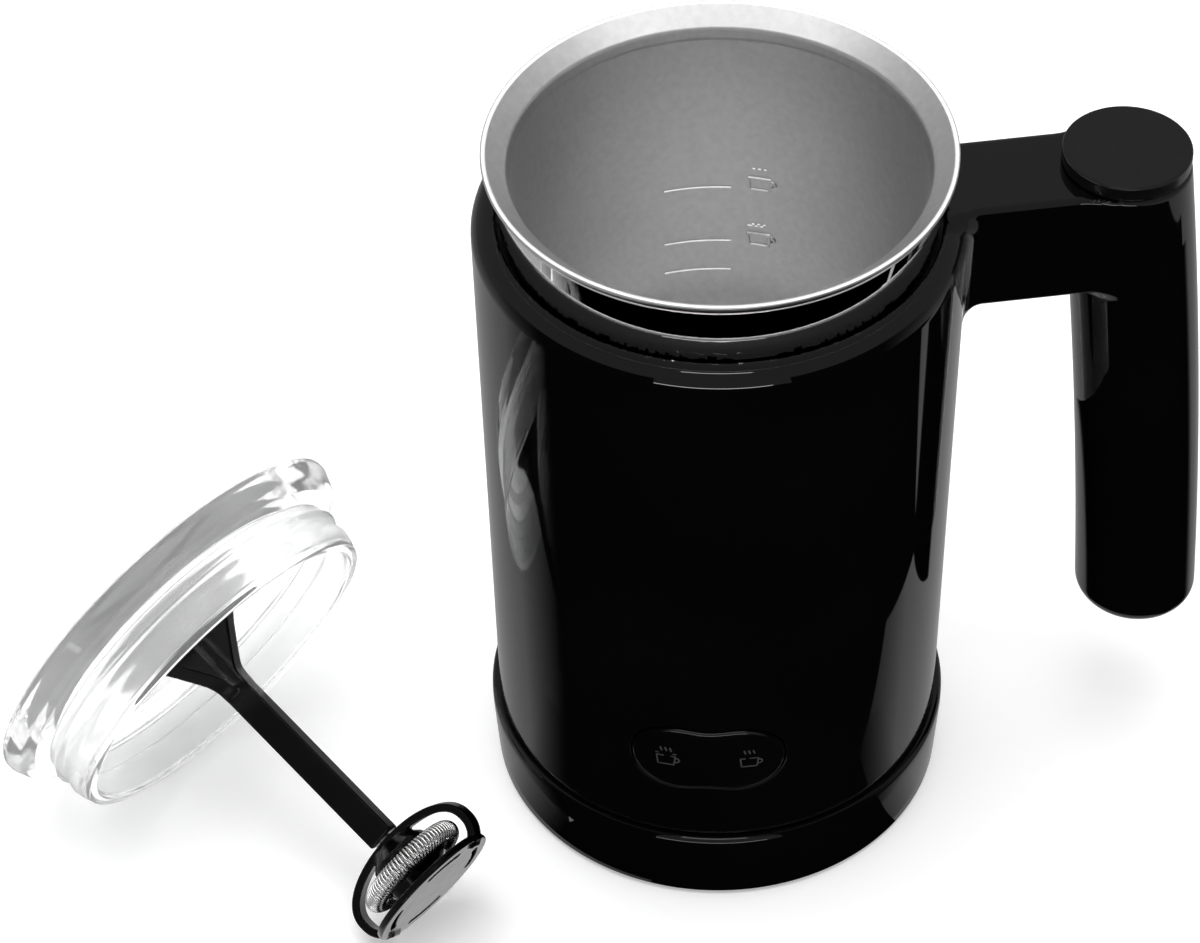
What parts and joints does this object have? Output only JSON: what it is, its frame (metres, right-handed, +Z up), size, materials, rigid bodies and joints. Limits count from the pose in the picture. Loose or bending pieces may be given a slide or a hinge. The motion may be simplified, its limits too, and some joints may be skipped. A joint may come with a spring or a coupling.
{
  "type": "electric milk frother",
  "caption": "Electric milk frother jug with steel pot and side handle on a round power base, its clear lid with magnetic coil whisk lying beside it.",
  "frame": {"origin": "on the jug's vertical axis, at the flat underside of the power base", "axes": "+Z up; -Y is the front with the button; the handle is on the +X side and the lid lies on the -X side"},
  "size_m": [0.2839, 0.1457, 0.1879],
  "materials": {
    "gloss_black": "high gloss injection moulded black",
    "satin_black": "satin black",
    "whisk_black": "semi-gloss black",
    "steel": "satin stainless steel",
    "mirror_steel": "mirror polished stainless steel",
    "contact_brass": "plain brass",
    "clear_plastic": "clear polished plastic",
    "silicone": "milky translucent silicone",
    "rubber": "matt black rubber",
    "grey_plastic": "matt grey heat-resistant plastic",
    "board_green": "green solder mask",
    "magnet_grey": "nickel plated magnet"
  },
  "bodies": {
    "base": {"base_housing": "gloss_black", "base_bottom_cover": "satin_black", "foot_1": "rubber", "foot_2": "rubber", "foot_3": "rubber", "foot_4": "rubber", "base_screw_1": "steel", "base_screw_2": "steel", "base_screw_3": "steel", "base_connector": "grey_plastic", "contact_ring": "contact_brass", "cord_gland": "rubber"},
    "coupler": {"jug_coupler": "grey_plastic", "contact_pin": "contact_brass"},
    "jug": {"outer_housing": "gloss_black", "jug_bottom_cover": "satin_black", "jug_screw_1": "steel", "jug_screw_2": "steel", "jug_screw_3": "steel", "pot_gasket": "silicone", "inner_pot": "steel", "chrome_collar": "mirror_steel", "handle_shell": "gloss_black", "handle_cap": "satin_black", "handle_screw_1": "steel", "handle_screw_2": "steel", "button_carrier": "satin_black", "button_pin": "steel", "circuit_board": "board_green", "tact_switch_1": "satin_black", "tact_switch_2": "satin_black", "heater_ring": "steel", "thermostat": "grey_plastic", "thermal_fuse": "contact_brass", "motor_can": "steel", "motor_bracket": "grey_plastic"},
    "rotor": {"motor_shaft": "steel", "magnet_carrier": "grey_plastic", "drive_magnet_1": "magnet_grey", "drive_magnet_2": "magnet_grey"},
    "button": {"start_button": "gloss_black"},
    "lid": {"lid_shell": "clear_plastic", "lid_seal": "silicone", "whisk_shaft": "whisk_black", "whisk_pin": "steel"},
    "whisk": {"whisk_frame": "whisk_black", "whisk_coil": "steel", "whisk_magnet_1": "magnet_grey", "whisk_magnet_2": "magnet_grey"}
  },
  "joints": [
    {"name": "jug_lift", "type": "slide", "parent": "base", "child": "coupler", "axis": [0, 0, 1], "range_m": [0, 0.08]},
    {"name": "jug_swivel", "type": "hinge", "parent": "coupler", "child": "jug", "pos_m": [0, 0, 0.03], "axis": [0, 0, 1], "range_deg": [-115, 135]},
    {"name": "button_rock", "type": "hinge", "parent": "jug", "child": "button", "pos_m": [0, -0.0475, 0.048], "axis": [0, 0, 1], "range_deg": [-3, 3], "stiffness_Nm_per_rad": 0.5},
    {"name": "rotor_spin", "type": "hinge", "parent": "jug", "child": "rotor", "pos_m": [0, 0, 0.09], "axis": [0, 0, 1], "continuous": true},
    {"name": "lid_lift", "type": "slide", "parent": "base", "child": "lid", "axis": [0, 0, 1], "range_m": [0, 0.08]},
    {"name": "whisk_spin", "type": "hinge", "parent": "lid", "child": "whisk", "pos_m": [-0.133, -0.0135, 0.04937], "axis": [0.7305, -0.5853, -0.3518], "continuous": true}
  ]
}
